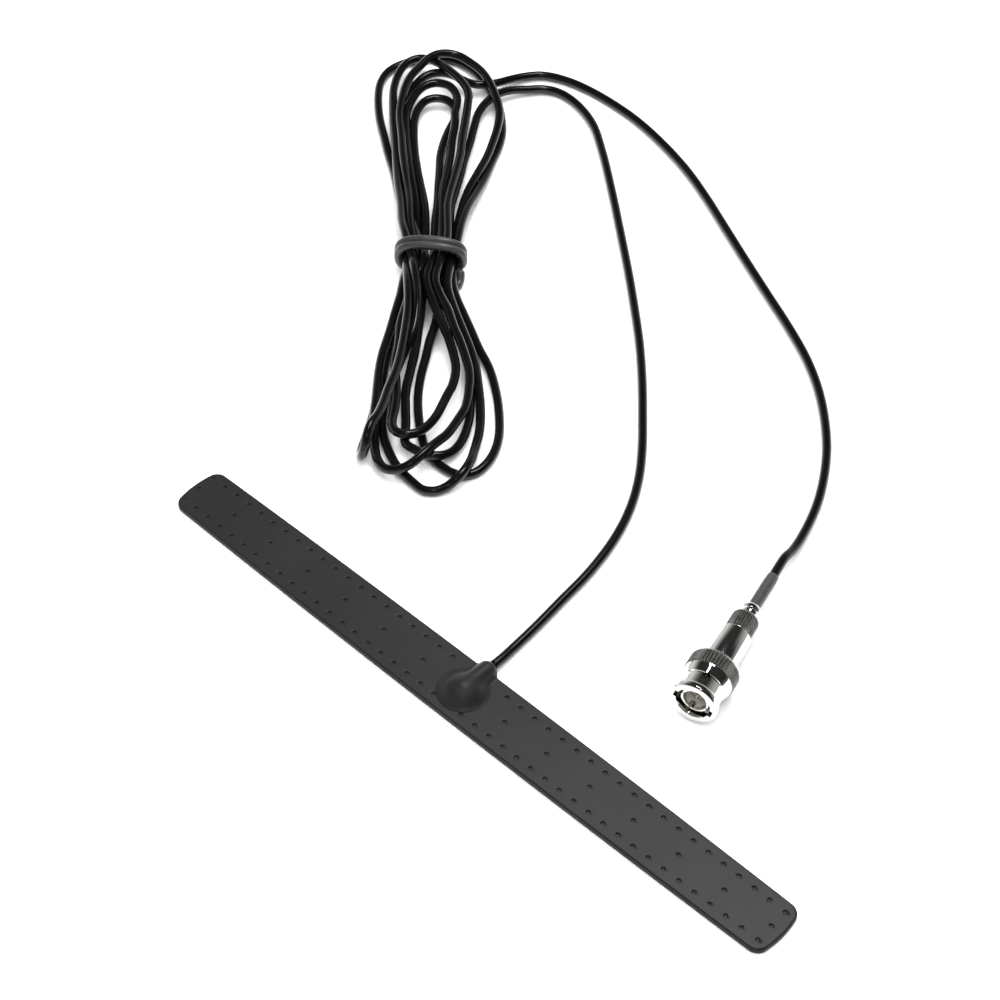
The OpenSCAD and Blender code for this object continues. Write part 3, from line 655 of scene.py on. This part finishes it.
def build_skin():
    xs = lines(OFF - HL, OFF + HL, [k * PITCH for k in COLS], 0.62, 0.11, 0.85)
    xs = np.unique(np.round(np.concatenate([xs, [OFF + s * (HL - e) for s in (-1, 1) for e in (0.03, 0.08, 0.16, 0.26, 0.38, 0.52, 0.8, 1.1, 1.4)]]), 5))
    vs = lines(-W_MID / 2, W_MID / 2, [-6.06, 0, 6.06], 0.8, 0.12, 0.6)
    vs = np.unique(np.round(np.concatenate([vs, [s * (W_MID / 2 - e) for s in (-1, 1) for e in (0.03, 0.08, 0.16, 0.26, 0.38, 0.52)]]), 5))
    X, V = np.meshgrid(xs, vs, indexing="ij")
    Y = V * half_w(X - OFF) / (W_MID / 2)
    # columns near the ends follow the curved end
    t = np.clip((np.abs(X - OFF) - (HL - 7)) / 7, 0, 1)
    X = OFF + np.sign(X - OFF) * (np.abs(X - OFF) - t * (HL - end_x(Y)))
    sd = strip_sd(X, Y)
    nx, nv = X.shape
    ring = np.hypot(X, Y)
    keep = np.zeros((nx - 1, nv - 1), bool)
    for a in (0, 1):
        for b in (0, 1):
            keep |= sd[a:nx - 1 + a, b:nv - 1 + b] < -1e-4
    hole = np.ones((nx - 1, nv - 1), bool)
    for a in (0, 1):
        for b in (0, 1):
            R, YY, XX = ring[a:nx - 1 + a, b:nv - 1 + b], Y[a:nx - 1 + a, b:nv - 1 + b], X[a:nx - 1 + a, b:nv - 1 + b]
            hole &= (R < 7.0) | ((np.abs(XX) < 4.0) & (YY > 0))
    keep &= ~hole
    # the outside points slide onto the outline
    for _ in range(3):
        e = 1e-3
        s = strip_sd(X, Y)
        gx = (strip_sd(X + e, Y) - strip_sd(X - e, Y)) / (2 * e)
        gy = (strip_sd(X, Y + e) - strip_sd(X, Y - e)) / (2 * e)
        g = np.maximum(np.hypot(gx, gy), 0.3)
        over = np.maximum(s, 0) / (g * g)
        X = X - over * gx
        Y = Y - over * gy
    d = -strip_sd(X, Y)
    top = skin_height(X, Y)
    low = np.where(d > 1.5, 0.92, Z_BASE)
    index = np.arange(nx * nv).reshape(nx, nv)
    q = np.stack([index[:-1, :-1], index[1:, :-1], index[1:, 1:], index[:-1, 1:]], -1)[keep]
    used = np.unique(q)
    remap = np.full(nx * nv, -1)
    remap[used] = np.arange(len(used))
    q = remap[q]
    m = len(used)
    P = np.stack([X, Y, top], -1).reshape(-1, 3)[used]
    B = np.stack([X, Y, low], -1).reshape(-1, 3)[used]
    edges = {}
    for f in q.tolist():
        for a, b in zip(f, f[1:] + f[:1]):
            edges[(a, b)] = 1
    rim = [(a, b) for (a, b) in edges if (b, a) not in edges]
    # the side wall: rolled top edge, plain wall, small lower bevel
    ids = sorted({a for e in rim for a in e})
    pos = {a: k for k, a in enumerate(ids)}
    wall = P[ids].copy()
    wall[:, 2] = np.minimum(wall[:, 2], Z_BASE + 0.35)
    faces = q.tolist() + (q[:, ::-1] + m).tolist()
    w0 = 2 * m
    for a, b in rim:
        faces.append((b, a, w0 + pos[a], w0 + pos[b]))
        faces.append((w0 + pos[b], w0 + pos[a], a + m, b + m))
    return mesh_object("strip_skin", np.concatenate([P, B, wall]), faces, sharp=50)


skin = build_skin()


def smin(a, b, k):
    h = np.clip(0.5 + 0.5 * (b - a) / k, 0, 1)
    return b * (1 - h) + a * h - k * h * (1 - h)


def smax(a, b, k):
    return -smin(-a, -b, k)


BOSS_TOP = 5.6
BOSS_R = 6.5
DOME_R = (BOSS_R**2 + 3.4**2) / 6.8
DOME_Z = BOSS_TOP - DOME_R


def boss_fn(x, y, z):
    dome = np.sqrt(x**2 + (y + 0.3) ** 2 + (z - DOME_Z) ** 2) - DOME_R
    # the neck tapers from the dome's top down to the lead's exit
    neck = (np.hypot(x, z - 1.9) - (3.66 - 0.95 * y / 11.0)) * 0.996
    neck = smax(neck, np.maximum(y - 11.25, -1.5 - y), 2.0)
    body = smin(dome, neck, 0.9)
    ring = np.hypot(x, y)
    sd = strip_sd(x, y)
    # the patch of skin that the boss carries, with the strip's rolled edge
    q = np.minimum(ring - 7.0, np.maximum(np.abs(x) - 4.0, -y))
    dd = np.clip(-sd, 0, 0.55)
    top = STRIP_TOP - 0.55 + np.sqrt(np.maximum(0.3025 - (0.55 - dd) ** 2, 0))
    plate = np.maximum(z - (top - 0.012 * np.clip((q + 0.1) / 0.2, 0, 1)), q - 0.38)
    plate = np.maximum(plate, sd + 0.02)
    out = smin(body, plate, 1.5)
    out = np.maximum(out, Z_BASE - z)
    out = np.maximum(out, q - 0.4)
    pocket = np.maximum(z - 0.92, sd + 1.5)
    chamber = np.maximum(ring - 4.4, z - 3.4)
    bore = np.maximum(np.hypot(x, z - 2.0) - 1.43, 3 - y)
    clampbore = np.maximum(np.hypot(x, z - 2.0) - 1.86, np.maximum(5.94 - y, y - 7.56))
    for hollow in (pocket, chamber, bore, clampbore):
        out = np.maximum(out, -hollow)
    return out


bv, bf = surface_nets(boss_fn, (-7.7, -7.7, 0.2), (7.7, 11.6, 6.2), 0.16)
boss = mesh_object("cable_boss", bv, bf, sharp=48)

# ------------------------------------------------------------------ hank tie: two wraps of cord
def tie_path():
    pts = []
    hw, z0, z1 = 10.1, 1.35, 11.7
    zc, zh, p = (z0 + z1) / 2, (z1 - z0) / 2, 2.6
    n = 2 * 40
    for k in range(n + 1):
        a = -0.5 + 2 * 2 * math.pi * k / n
        c, s = math.cos(a), math.sin(a)
        e = hw * math.copysign(abs(c) ** (2 / p), c)
        z = zc + zh * math.copysign(abs(s) ** (2 / p), s)
        d = -2.7 + 5.4 * k / n + 0.15 * e
        pts.append((d, e, z))
    # the short tail that is left over
    d, e, z = pts[-1]
    pts += [(d + 1.2, e + 0.1, z - 1.1), (d + 2.4, e - 0.2, 1.5), (d + 3.6, e - 0.6, 1.35)]
    return pts


def from_hank(pts):
    p = np.asarray(pts, float)
    xy = HANK_O + p[:, :1] * HANK_U + p[:, 1:2] * HANK_V
    return np.concatenate([xy, p[:, 2:]], 1)


tie = tube("hank_tie_wraps", catmull(from_hank(tie_path()), 0.8), 1.3, sides=20)

# ------------------------------------------------------------------ plug
sleeve_sec = rounded([
    (4.9, 0.0, 0.12), (6.5, 0.0, 0.35), (6.82, 0.45, 0.3), (6.82, 1.65, 0.3), (6.5, 2.05, 0.15), (6.15, 2.3, 0.3),
    (6.15, 5.75, 0.1), (5.9, 5.95, 0.05), (5.9, 6.4, 0.05), (6.2, 6.55, 0.1), (6.9, 8.95, 0.2), (6.95, 9.35, 0.05), (7.25, 9.62, 0.1), (7.25, 10.3), (7.25, 11.0), (7.25, 11.7), (7.25, 12.4),
    (7.25, 13.0), (7.25, 13.68, 0.1), (6.95, 13.95, 0.05), (6.92, 14.3, 0.12), (6.6, 14.6, 0.1), (6.1, 14.6), (6.1, 14.0), (6.5, 14.0),
    (6.5, 13.4), (6.1, 13.4), (6.1, 9.0), (4.9, 9.0)], 4)
sleeve = lathe("coupling_shell", sleeve_sec, segs=480, teeth=48, depth=0.3, spans=((9.35, 13.95, 6.96, 0.3),), sharp=38)
cutters = []
for half in (0, math.pi):
    t0 = math.radians(104) + half
    cutters.append(box_cutter((3.5, -1.15, -1), (5.7, 1.15, 3.4), t0))
    cutters.append(track_cutter(1.15, 4.2, 5.7, [(t0 + math.radians(a), 3.4 + 2.2 * a / 84) for a in range(0, 85, 6)]))
    cutters.append(pin_cutter(1.15, 4.0, 8.0, 5.6, t0 + math.radians(84)))
cut(sleeve, cutters, sharp=38)

barrel_sec = rounded([
    (3.32, 1.2, 0.1), (3.98, 1.2, 0.14), (4.1, 1.6, 0.1), (4.1, 7.6), (3.85, 7.6), (3.85, 8.6), (4.8, 8.6), (4.8, 9.05), (6.03, 9.05),
    (6.03, 11.2), (4.4, 11.2), (4.4, 15.0), (4.5, 15.0, 0.1), (4.7, 15.25, 0.15), (4.7, 26.75, 0.15), (4.5, 27.0, 0.1), (3.4, 27.0),
    (3.4, 15.6), (2.6, 15.6), (2.6, 8.0), (3.5, 8.0), (3.5, 5.1), (3.32, 4.9)], 3)
barrel = lathe("plug_barrel_turned", barrel_sec, segs=160)
cut(barrel, [box_cutter((-10, -0.2, 0), (10, 0.2, 6.2), math.radians(a + 20)) for a in (0, 90)])

nut_sec = rounded([
    (1.45, 21.4), (3.35, 21.4), (3.35, 27.2), (3.5, 27.2, 0.1), (3.68, 27.45, 0.1), (3.7, 27.75, 0.03), (3.92, 28.0, 0.06), (3.92, 29.4), (3.92, 30.8),
    (3.92, 32.2), (3.92, 33.5, 0.06), (3.7, 33.75, 0.03), (3.66, 33.85, 0.05), (3.2, 34.4, 0.1), (2.9, 34.4), (2.9, 34.78), (1.45, 34.78)], 3)
nut = lathe("clamp_nut_turned", nut_sec, segs=320, teeth=32, depth=0.26, spans=((27.7, 33.9, 3.71, 0.26),))

ring_sec = rounded([(1.77, 34.8), (2.3, 34.8, 0.05), (2.3, 36.05, 0.08), (2.95, 36.25, 0.15), (2.95, 37.55, 0.3), (2.45, 37.95, 0.1), (2.3, 38.4, 0.12), (1.77, 38.4)], 4)
tail = lathe("tail_ring_turned", ring_sec, segs=96)

sl = []
for k in range(14):
    s = 36.45 + (51.6 - 36.45) * k / 13
    sl.append((1.75 - 0.05 * math.exp(-(s - 36.45) / 3) - 0.10 * max(0, (k - 10) / 3) ** 2, s))
sl += [(1.60, 51.85), (1.45, 51.95), (1.42, 51.95), (1.42, 36.45)]
sleeve_tail = lathe("strain_sleeve_soft", sl, segs=64, sharp=60)

ins_sec = rounded([(0.7, 5.2, 0.05), (1.5, 5.2), (3.42, 5.2, 0.12), (3.46, 7.98), (2.58, 7.98), (2.58, 11.0), (0.95, 11.0), (0.95, 9.4), (0.7, 9.4)], 3)
insulator = lathe("front_insulator_turned", ins_sec, segs=96)
pin_sec = [(0.02, 2.2), (0.16, 2.22), (0.3, 2.3), (0.4, 2.45), (0.6, 2.9), (0.675, 3.15), (0.675, 9.5), (0.92, 9.5), (0.92, 15.9), (0.26, 15.9), (0.26, 13.5), (0.02, 13.4)]
pin = lathe("centre_pin_turned", pin_sec, segs=48)
gasket = lathe("mating_gasket_soft", rounded([(3.87, 7.72, 0.1), (4.72, 7.72, 0.2), (4.72, 8.58, 0.1), (3.87, 8.58, 0.1)], 3), segs=96)

# ------------------------------------------------------------------ what rides on what
for ob, node, slot in (
        (skin, "strip_body", "strip_vinyl"), (boss, None, "strip_vinyl"), (tie, "hank_tie", "tie_jacket"),
        (barrel, "plug_barrel", "nickel_bright"), (nut, "clamp_nut", "nickel_knurled"), (tail, "tail_ring", "nickel_bright"),
        (sleeve_tail, "strain_sleeve", "shrink_sleeve"), (insulator, "front_insulator", "ptfe"),
        (pin, "centre_pin", "gold_plate"), (gasket, "mating_gasket", "silicone")):
    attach(ob, "antenna")
    if node:
        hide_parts(node)
    else:
        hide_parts("strip_body")
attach(sleeve, "coupling")
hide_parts("coupling_sleeve")
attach(lead, "antenna")
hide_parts("lead_to_strip", "cable_hank", "lead_to_plug")


# ------------------------------------------------------------------ materials
def new_mat(name):
    m = bpy.data.materials.new(name)
    m.use_nodes = True
    nt = m.node_tree
    b = nt.nodes["Principled BSDF"]
    return m, nt, b


def N(nt, kind, **vals):
    n = nt.nodes.new(kind)
    for k, v in vals.items():
        if k in n.inputs:
            n.inputs[k].default_value = v
        else:
            setattr(n, k, v)
    return n


def coords(nt):
    return nt.nodes.new("ShaderNodeTexCoord").outputs["Object"]


def noise(nt, vec, scale, detail=4.0, rough=0.5, stretch=None):
    if stretch is not None:
        mp = nt.nodes.new("ShaderNodeMapping")
        mp.inputs["Scale"].default_value = stretch
        nt.links.new(vec, mp.inputs["Vector"])
        vec = mp.outputs["Vector"]
    n = nt.nodes.new("ShaderNodeTexNoise")
    n.inputs["Scale"].default_value = scale
    n.inputs["Detail"].default_value = detail
    n.inputs["Roughness"].default_value = rough
    nt.links.new(vec, n.inputs["Vector"])
    return n.outputs["Fac"]


def ramp(nt, fac, a, b, lo=0.0, hi=1.0):
    r = nt.nodes.new("ShaderNodeMapRange")
    r.inputs["From Min"].default_value = lo
    r.inputs["From Max"].default_value = hi
    r.inputs["To Min"].default_value = a
    r.inputs["To Max"].default_value = b
    nt.links.new(fac, r.inputs["Value"])
    return r.outputs["Result"]


def mixcol(nt, fac, a, b):
    m = nt.nodes.new("ShaderNodeMix")
    m.data_type = "RGBA"
    nt.links.new(fac, m.inputs["Factor"])
    m.inputs["A"].default_value = (*a, 1)
    m.inputs["B"].default_value = (*b, 1)
    # the colour sockets are the last pair
    ins = [s for s in m.inputs if s.name in ("A", "B") and s.type == "RGBA"]
    ins[0].default_value = (*a, 1)
    ins[1].default_value = (*b, 1)
    return [o for o in m.outputs if o.type == "RGBA"][0]


def bump(nt, height, strength, distance, normal=None):
    b = nt.nodes.new("ShaderNodeBump")
    b.inputs["Strength"].default_value = strength
    b.inputs["Distance"].default_value = distance
    nt.links.new(height, b.inputs["Height"])
    if normal is not None:
        nt.links.new(normal, b.inputs["Normal"])
    return b.outputs["Normal"]


def plastic(name, dark, light, rough, grain=9000.0, bump_mm=0.02, blotch=60.0, bump_strength=0.5, spec=0.5, coat=0.0, coat_rough=0.1, rough_var=0.06):
    m, nt, b = new_mat(name)
    co = coords(nt)
    big = noise(nt, co, blotch, 4)
    fine = noise(nt, co, grain, 3, 0.6)
    nt.links.new(mixcol(nt, ramp(nt, big, 0, 1, 0.35, 0.65), dark, light), b.inputs["Base Color"])
    nt.links.new(ramp(nt, fine, rough - rough_var, rough + rough_var, 0.3, 0.7), b.inputs["Roughness"])
    nt.links.new(bump(nt, fine, bump_strength, bump_mm * MM), b.inputs["Normal"])
    b.inputs["Specular IOR Level"].default_value = spec
    b.inputs["Coat Weight"].default_value = coat
    b.inputs["Coat Roughness"].default_value = coat_rough
    return m


def metal(name, dark, light, rough, rough_var=0.05, blotch=300.0, lay=None, lay_bump=0.15, lay_mm=0.003, fine_bump=0.0):
    """Plated metal with cloudy tone; lay = stretch of the turning marks."""
    m, nt, b = new_mat(name)
    co = coords(nt)
    big = noise(nt, co, blotch, 4)
    nt.links.new(mixcol(nt, ramp(nt, big, 0, 1, 0.35, 0.65), dark, light), b.inputs["Base Color"])
    b.inputs["Metallic"].default_value = 1.0
    smear = noise(nt, co, blotch * 3, 5, 0.6)
    nt.links.new(ramp(nt, smear, rough - rough_var, rough + rough_var, 0.3, 0.7), b.inputs["Roughness"])
    if lay is not None:
        marks = noise(nt, co, 1.0, 3, 0.6, stretch=lay)
        nt.links.new(bump(nt, marks, lay_bump, lay_mm * MM), b.inputs["Normal"])
    return m


MATS = {
    "strip_vinyl": plastic("strip_vinyl", (0.0078, 0.0080, 0.0085), (0.0102, 0.0104, 0.0109), 0.44, spec=0.38, grain=3200, bump_mm=0.035, blotch=35, bump_strength=0.35),
    "dark_film": plastic("dark_film", (0.003, 0.003, 0.003), (0.005, 0.005, 0.005), 0.5, spec=0.2),
    "clear_film": plastic("clear_film", (0.62, 0.55, 0.38), (0.7, 0.63, 0.46), 0.2, coat=0.4),
    "liner_paper": plastic("liner_paper", (0.74, 0.69, 0.52), (0.80, 0.76, 0.60), 0.38, grain=4000, bump_mm=0.01, blotch=120),
    "adhesive_foam": plastic("adhesive_foam", (0.60, 0.60, 0.59), (0.72, 0.72, 0.71), 0.85, grain=6000, bump_mm=0.05, bump_strength=0.8),
    "copper": metal("copper", (0.80, 0.40, 0.24), (0.90, 0.50, 0.32), 0.28),
    "circuit_board": plastic("circuit_board", (0.03, 0.16, 0.07), (0.05, 0.22, 0.10), 0.35, coat=0.5),
    "solder": metal("solder", (0.62, 0.62, 0.62), (0.75, 0.75, 0.74), 0.25),
    "coax_dielectric": plastic("coax_dielectric", (0.78, 0.78, 0.76), (0.86, 0.86, 0.84), 0.4),
    "tinned_braid": metal("tinned_braid", (0.5, 0.48, 0.45), (0.66, 0.64, 0.6), 0.35),
    "lead_jacket": plastic("lead_jacket", (0.0020, 0.0020, 0.0022), (0.0032, 0.0032, 0.0034), 0.17, spec=0.36, grain=2600, bump_mm=0.012, blotch=90, bump_strength=0.25, rough_var=0.03),
    "tie_jacket": plastic("tie_jacket", (0.026, 0.026, 0.027), (0.036, 0.036, 0.037), 0.30, spec=0.6, grain=2400, bump_mm=0.02, blotch=120, bump_strength=0.3),
    "shrink_sleeve": plastic("shrink_sleeve", (0.03, 0.03, 0.032), (0.042, 0.042, 0.044), 0.42, grain=2600, bump_mm=0.03, blotch=150),
    "tin_plate": metal("tin_plate", (0.6, 0.59, 0.56), (0.72, 0.71, 0.68), 0.3),
    "nickel_bright": metal("nickel_bright", (0.70, 0.69, 0.665), (0.76, 0.75, 0.725), 0.075, rough_var=0.02, blotch=260, lay=(300.0, 300.0, 26000.0), lay_bump=0.10, lay_mm=0.004),
    # nickel_knurled: rougher plating whose base colour, far darker than nickel_bright, is painted shade standing in for
    # the shade in the knurl's grooves
    "nickel_knurled": metal("nickel_knurled", (0.19, 0.189, 0.178), (0.25, 0.248, 0.235), 0.3, rough_var=0.05, blotch=500, lay=(1500.0, 1500.0, 9000.0), lay_bump=0.2, lay_mm=0.006),
    "gasket_rubber": plastic("gasket_rubber", (0.05, 0.05, 0.05), (0.07, 0.07, 0.07), 0.7),
    "brass": metal("brass", (0.72, 0.53, 0.24), (0.8, 0.62, 0.32), 0.25),
    "ptfe": plastic("ptfe", (0.82, 0.80, 0.75), (0.88, 0.86, 0.81), 0.42, grain=3000, bump_mm=0.01),
    "gold_plate": metal("gold_plate", (0.42, 0.37, 0.28), (0.50, 0.44, 0.34), 0.3, lay=(300.0, 300.0, 20000.0)),
    "silicone": plastic("silicone", (0.66, 0.64, 0.60), (0.74, 0.71, 0.67), 0.6),
    "spring_steel": metal("spring_steel", (0.42, 0.42, 0.42), (0.52, 0.52, 0.52), 0.3),
}
SLOT_OF_NODE = {
    "release_liner": "liner_paper", "adhesive_pad": "adhesive_foam", "base_film": "dark_film", "element_carrier": "clear_film",
    "dipole_left_arm": "copper", "dipole_right_arm": "copper", "strip_body": "strip_vinyl", "feed_board": "circuit_board",
    "feed_solder": "solder", "feed_conductor": "copper", "feed_dielectric": "coax_dielectric", "feed_braid": "tinned_braid",
    "feed_jacket": "lead_jacket", "cable_clamp": "tin_plate", "lead_to_strip": "lead_jacket", "cable_hank": "lead_jacket",
    "hank_tie": "tie_jacket", "lead_to_plug": "lead_jacket", "strain_sleeve": "shrink_sleeve", "tail_ring": "nickel_bright",
    "clamp_nut": "nickel_knurled", "clamp_washer": "tin_plate", "clamp_gasket": "gasket_rubber", "braid_clamp": "brass",
    "plug_jacket": "lead_jacket", "plug_braid": "tinned_braid", "plug_dielectric": "coax_dielectric", "plug_conductor": "copper",
    "plug_barrel": "nickel_bright", "front_insulator": "ptfe", "rear_insulator": "ptfe", "centre_pin": "gold_plate",
    "mating_gasket": "silicone", "wave_washers": "spring_steel", "thrust_washer": "tin_plate", "snap_ring": "spring_steel",
    "coupling_sleeve": "nickel_bright"}
for name, ob in NODES.items():
    ob.data.materials.clear()
    ob.data.materials.append(MATS[SLOT_OF_NODE[name]])
for ob, slot in ((skin, "strip_vinyl"), (boss, "strip_vinyl"), (tie, "tie_jacket"), (barrel, "nickel_bright"), (nut, "nickel_knurled"),
                 (tail, "nickel_bright"), (sleeve_tail, "shrink_sleeve"), (insulator, "ptfe"), (pin, "gold_plate"),
                 (gasket, "silicone"), (sleeve, "nickel_bright"), (lead, "lead_jacket")):
    ob.data.materials.clear()
    ob.data.materials.append(MATS[slot])
# the coupling's grip takes the knurled material: rougher than its neck, and darker, which is painted shade for the
# knurl's grooves
sleeve.data.materials.append(MATS["nickel_knurled"])
for poly in sleeve.data.polygons:
    c = poly.center / MM
    if 9.3 < c.z < 14.0 and math.hypot(c.x, c.y) > 6.88:
        poly.material_index = 1

# the clamp nut's plain chamfers keep the bright nickel, without the knurl's painted shade
nut.data.materials.append(MATS["nickel_bright"])
for poly in nut.data.polygons:
    if poly.center.z / MM > 33.8 or poly.center.z / MM < 27.72:
        poly.material_index = 1
# painted shade: the strip's side walls get the base film's near-black, low-sheen material, standing in for the dark
# edges the light leaves there
skin.data.materials.append(MATS["dark_film"])
for poly in skin.data.polygons:
    if poly.normal.z < 0.75 and float(strip_sd(poly.center.x / MM, poly.center.y / MM)) > -0.45:
        poly.material_index = 1

# ------------------------------------------------------------------ floor, light
fm, fnt, fb = new_mat("studio_floor")
fb.inputs["Base Color"].default_value = (0.93, 0.93, 0.93, 1)
fb.inputs["Roughness"].default_value = 1.0
fb.inputs["Specular IOR Level"].default_value = 0.0
me = bpy.data.meshes.new("studio_floor")
me.from_pydata([(-6, -6, 0), (6, -6, 0), (6, 6, 0), (-6, 6, 0)], [], [(0, 1, 2, 3)])
me.update()
floor = bpy.data.objects.new("studio_floor", me)
SCENE.collection.objects.link(floor)
me.materials.append(fm)

world = bpy.data.worlds.new("studio")
SCENE.world = world
world.use_nodes = True
wnt = world.node_tree
bg = wnt.nodes["Background"]
bg.inputs["Color"].default_value = (1, 1, 1, 1)
tc = wnt.nodes.new("ShaderNodeTexCoord")


def by_direction(az, el, near, far, value):
    """A soft patch of the room about one direction: value at its middle, 0 beyond far degrees."""
    dot = wnt.nodes.new("ShaderNodeVectorMath")
    dot.operation = "DOT_PRODUCT"
    az, el = math.radians(az), math.radians(el)
    dot.inputs[1].default_value = (math.cos(el) * math.cos(az), math.cos(el) * math.sin(az), math.sin(el))
    wnt.links.new(tc.outputs["Generated"], dot.inputs[0])
    mr = wnt.nodes.new("ShaderNodeMapRange")
    mr.interpolation_type = "SMOOTHSTEP"
    mr.inputs["From Min"].default_value = math.cos(math.radians(far))
    mr.inputs["From Max"].default_value = math.cos(math.radians(near))
    mr.inputs["To Min"].default_value = 0.0
    mr.inputs["To Max"].default_value = value
    wnt.links.new(dot.outputs["Value"], mr.inputs["Value"])
    return mr.outputs["Result"]


def plus(a, b):
    n = wnt.nodes.new("ShaderNodeMath")
    n.operation = "ADD"
    for k, v in enumerate((a, b)):
        if isinstance(v, float):
            n.inputs[k].default_value = v
        else:
            wnt.links.new(v, n.inputs[k])
    return n.outputs["Value"]


# a room that is dark overhead and bright low down, all round
room = plus(by_direction(0, 90, 47, 84, -0.84), by_direction(12, 8, 28, 60, -0.72))
strength = plus(room, 0.86)
least = wnt.nodes.new("ShaderNodeMath")
least.operation = "MAXIMUM"
least.inputs[1].default_value = 0.03
wnt.links.new(strength, least.inputs[0])
wnt.links.new(least.outputs["Value"], bg.inputs["Strength"])


def area(name, az, el, dist, target, size, power, size_y=None, glossy=True, spin=0.0):
    """An area light seen from the target at azimuth az and elevation el."""
    li = bpy.data.lights.new(name, "AREA")
    li.energy = power
    li.size = size
    if size_y:
        li.shape = "RECTANGLE"
        li.size_y = size_y
    ob = bpy.data.objects.new(name, li)
    SCENE.collection.objects.link(ob)
    az, el = math.radians(az), math.radians(el)
    d = Vector((math.cos(el) * math.cos(az), math.cos(el) * math.sin(az), math.sin(el)))
    ob.location = Vector(target) + d * dist
    ob.rotation_euler = (-d).to_track_quat("-Z", "Y").to_euler()
    if spin:
        ob.rotation_euler.rotate_axis("Z", math.radians(spin))
    ob.visible_glossy = glossy
    return ob


# wide soft fill for the floor, which leaves no reflection of its own
area("fill_tent", 0, 90, 1.6, (-0.04, 0.1, 0), 3.0, 84, 3.0, glossy=False)
# narrow lights that draw the thin bright lines on the lead and the plating
area("line_overhead", 120, 74, 1.3, (-0.04, 0.1, 0), 0.07, 3.2, 0.5)
area("line_front", -48, 62, 1.3, (-0.04, 0.1, 0), 0.07, 0.9, 0.3)
# a broad sheet over the strip's far end
area("sheet_right", 110, 62, 1.3, (0.1, 0.0, 0), 0.4, 3.1, 0.4)

SCENE.view_settings.view_transform = "Standard"
SCENE.view_settings.look = "None"

bpy.context.view_layer.update()
